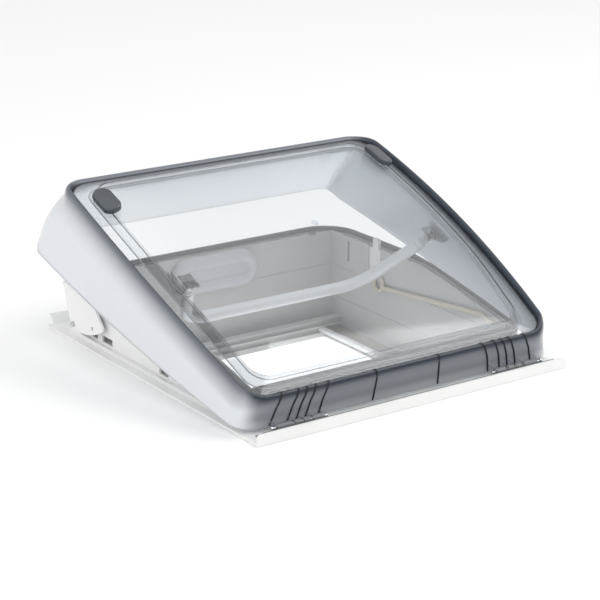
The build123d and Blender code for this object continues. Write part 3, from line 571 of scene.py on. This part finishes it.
def pleated_sheet(name, node, level, side, material):
    """Pleats between a pull bar and the liner wall."""
    x_wall, x_bar = FABRIC_X
    y_low, y_high = FABRIC_Y
    points = []
    for i in range(FOLDS + 1):
        x = side * (x_wall + (x_bar - x_wall) * i / FOLDS)
        z = level + (FOLD_HALF if i % 2 else -FOLD_HALF)
        points += [Vector((x, y_low + (y_high - y_low) * k / FABRIC_STEPS, z)) for k in range(FABRIC_STEPS + 1)]
    piece = make_mesh(name, points, grid_faces(FOLDS + 1, FABRIC_STEPS + 1, False), smooth=False)
    piece.data.materials.append(material)
    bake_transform(piece)
    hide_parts(node)
    return piece


def dome_pane():
    """Crowned top of the outer dome."""
    rows = [lambda c, d=d: pane_point(c, d) for d in PANE_INSETS]
    piece = ring_strip("dome_pane", rows, close_middle=True)
    add_thickness(piece, SKIN)
    return finish_piece(piece, "dome", "clear_acrylic", PANE)


def inner_pane():
    """Second pane, with a lip turned down round its edge."""
    places = [(inset, SKIN + fall) for inset, fall in INNER_LIP]
    places += [(inset, SKIN + PANE_GAP) for inset in INNER_INSETS]
    rows = [lambda c, d=d, drop=drop: pane_point(c, d, drop) for d, drop in places]
    piece = ring_strip("inner_pane", rows, close_middle=True)
    add_thickness(piece, PANE_THICK)
    return finish_piece(piece, "dome", "clear_acrylic", INNER, "inner_dome")


def ring_tube(name, inset, drop, radius):
    """A thin rail all round, following the pane."""
    path = [opened(pane_point(c, inset, drop)) for c in range(COLUMNS)]
    return tube(name, path, radius, sides=8, closed=True)


FRONT = [c for c in range(COLUMNS) if SKIRT[c][1] < -0.19]


def front_point(x, share):
    """A point of the front skirt at a place along the hinge."""
    near = sorted(FRONT, key=lambda c: abs(SKIRT[c][0] - x))[:2]
    x0, x1 = (SKIRT[c][0] for c in near)
    mix = (x - x0) / (x1 - x0)
    return skirt_point(near[0], share).lerp(skirt_point(near[1], share), mix)


def front_ribs():
    """Moulded ribs of the front skirt, as thin lines; the outer ones curve away from the middle."""
    for side, label in ((-1, "left"), (1, "right")):
        for number, place in enumerate(RIBS):
            bend = RIB_BEND if place > 0.1 else 0.0
            path = []
            for i in range(RIB_STEPS + 1):
                share = RIB_SHARES[0] + (RIB_SHARES[1] - RIB_SHARES[0]) * i / RIB_STEPS
                x = side * (place - bend * smooth_step(0.6, 1.9, share))
                path.append(opened(front_point(x, share) + Vector((0, -0.0002, 0))))
            piece = tube(f"front_rib_{label}_{number + 1}", path, RIB_RADIUS, sides=8)
            finish_piece(piece, "dome", "clear_acrylic", GROOVE_SHADE_AND_RIB)


dome_skirt()
dome_pane()
pane_rim()
front_ribs()
bracket_fins(-1)
bracket_fins(1)
pleated_sheet("blind_fabric_sheet", "blind_pleats", BLIND_Z, 1, BLIND)
pleated_sheet("screen_fabric_sheet", "screen_pleats", SCREEN_Z, -1, DARK)
inner_pane()
# Painted shade of the groove where the skirt meets the pane, drawn as a dark tube
finish_piece(ring_tube("border_groove_shade", 0.0, GROOVE_SHADE_DROP, GROOVE_SHADE_RADIUS), "dome", "clear_acrylic", GROOVE_SHADE_AND_RIB)
for number, (inset, drop) in enumerate(RAIL_PLACES):
    rail = ring_tube(f"pane_rail_{number + 1}", inset, drop, RAIL_RADIUS)
    finish_piece(rail, "dome", "clear_acrylic", RAIL)


# ---------------------------------------------------------------- finishes of the CAD pieces

FINISHES = {
    "outer_frame": WHITE, "curb_seal": RUBBER, "upper_liner": LINER, "middle_liner": LINER,
    "interior_frame": LINER, "rear_catch": GREY, "side_catch_left": WHITE, "side_catch_right": WHITE,
    "side_track_left": BEIGE, "side_track_right": BEIGE, "side_shield_left": WHITE,
    "side_shield_right": WHITE, "shield_screws": STEEL, "hinge_rail": RAIL_GREY, "guide_rail_front": LINER,
    "guide_rail_rear": LINER, "roof_clamps": STEEL, "clamp_screws": STEEL, "liner_screws": STEEL,
    "hinge_leaf_left": FITTING, "hinge_leaf_right": FITTING, "hinge_pin_left": STEEL, "hinge_pin_right": STEEL,
    "front_stiffeners": SMOKED, "latch_pad_left": PAD, "latch_pad_right": PAD,
    "bar_bracket_left": FITTING, "bar_bracket_right": FITTING, "pivot_screws": STEEL,
    "breather_plugs": FITTING, "opening_bar": TUBE, "bar_end_left": TUBE, "bar_end_right": TUBE,
    "blind_pull_bar": WHITE, "screen_pull_bar": WHITE,
}
for name, material in FINISHES.items():
    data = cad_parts[name].data
    data.materials.clear()
    data.materials.append(material)


# ---------------------------------------------------------------- stage, light and camera

def stage():
    """Pale roof with the cut-out, and a bright sheet below the opening."""
    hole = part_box("middle_liner")
    far = 6.0
    xs = (-far, hole[0][0] - 0.0005, hole[1][0] + 0.0005, far)
    ys = (-far, hole[0][1] - 0.0005, hole[1][1] + 0.0005, far)
    points = [(x, y, -0.0003) for y in ys for x in xs]
    faces = [(r * 4 + c, r * 4 + c + 1, r * 4 + c + 5, r * 4 + c + 4)
             for r in range(3) for c in range(3) if (r, c) != (1, 1)]
    floor = make_mesh("floor", points, faces, smooth=False)
    material, _, shader, _ = nodes_of("floor_white")
    shader.inputs["Base Color"].default_value = (0.93, 0.93, 0.93, 1)
    shader.inputs["Roughness"].default_value = 0.8
    floor.data.materials.append(material)
    low = cad_box[0][2] - 0.002
    sheet = make_mesh("under_sheet", [(-1, -1, low), (1, -1, low), (1, 1, low), (-1, 1, low)], [(0, 1, 2, 3)],
                      smooth=False)
    material, _, shader, _ = nodes_of("under_white")
    shader.inputs["Base Color"].default_value = (0.9, 0.9, 0.9, 1)
    shader.inputs["Emission Color"].default_value = (1, 1, 1, 1)
    shader.inputs["Emission Strength"].default_value = 0.75
    sheet.data.materials.append(material)


def studio_world():
    """White all round; reflections see a darker floor, which gives the clear parts their edges."""
    world = bpy.data.worlds.new("studio")
    bpy.context.scene.world = world
    world.use_nodes = True
    tree = world.node_tree
    background = tree.nodes["Background"]
    path = tree.nodes.new("ShaderNodeLightPath")
    room = tree.nodes.new("ShaderNodeTexCoord")
    split = tree.nodes.new("ShaderNodeSeparateXYZ")
    tree.links.new(room.outputs["Generated"], split.inputs[0])
    ramp = tree.nodes.new("ShaderNodeValToRGB")
    ramp.color_ramp.elements[0].position = 0.0
    ramp.color_ramp.elements[0].color = (0.16, 0.17, 0.19, 1)
    ramp.color_ramp.elements[1].position = 0.75
    ramp.color_ramp.elements[1].color = (1, 1, 1, 1)
    tree.links.new(split.outputs["Z"], ramp.inputs["Fac"])
    pick = tree.nodes.new("ShaderNodeMixRGB")
    pick.inputs["Color1"].default_value = (1, 1, 1, 1)
    tree.links.new(path.outputs["Is Glossy Ray"], pick.inputs["Fac"])
    tree.links.new(ramp.outputs["Color"], pick.inputs["Color2"])
    tree.links.new(pick.outputs["Color"], background.inputs["Color"])
    background.inputs["Strength"].default_value = 0.95


def area_light(name, place, target, size, power):
    """Square lamp at place, aimed at target; size in metres, power in watts."""
    data = bpy.data.lights.new(name, "AREA")
    data.size = size
    data.energy = power
    light = bpy.data.objects.new(name, data)
    light.location = place
    light.rotation_euler = (Vector(target) - Vector(place)).to_track_quat("-Z", "Y").to_euler()
    bpy.context.collection.objects.link(light)


def place_camera():
    """The photograph's viewpoint."""
    camera_data = bpy.data.cameras.new("camera")
    camera_data.lens = 115.85
    camera_data.sensor_width = 36
    camera_data.clip_start = 0.05
    camera_data.clip_end = 40
    camera = bpy.data.objects.new("camera", camera_data)
    camera.location = (-1.3502, -1.9833, 0.8439)
    yaw = math.radians(34.30)
    pitch = math.radians(17.99)
    roll = math.radians(-0.166)
    ahead = Vector((math.sin(yaw) * math.cos(pitch), math.cos(yaw) * math.cos(pitch), -math.sin(pitch)))
    camera.rotation_mode = "QUATERNION"
    level = ahead.to_track_quat("-Z", "Y")
    camera.rotation_quaternion = level @ Matrix.Rotation(roll, 3, "Z").to_quaternion()
    bpy.context.collection.objects.link(camera)
    bpy.context.scene.camera = camera


stage()
studio_world()
area_light("key", (1.6, -0.9, 2.4), (0, 0, 0.05), 1.6, 22)
area_light("fill", (-2.2, -0.6, 1.4), (0, 0, 0.05), 1.6, 8)
bpy.context.scene.view_settings.view_transform = "Standard"
place_camera()
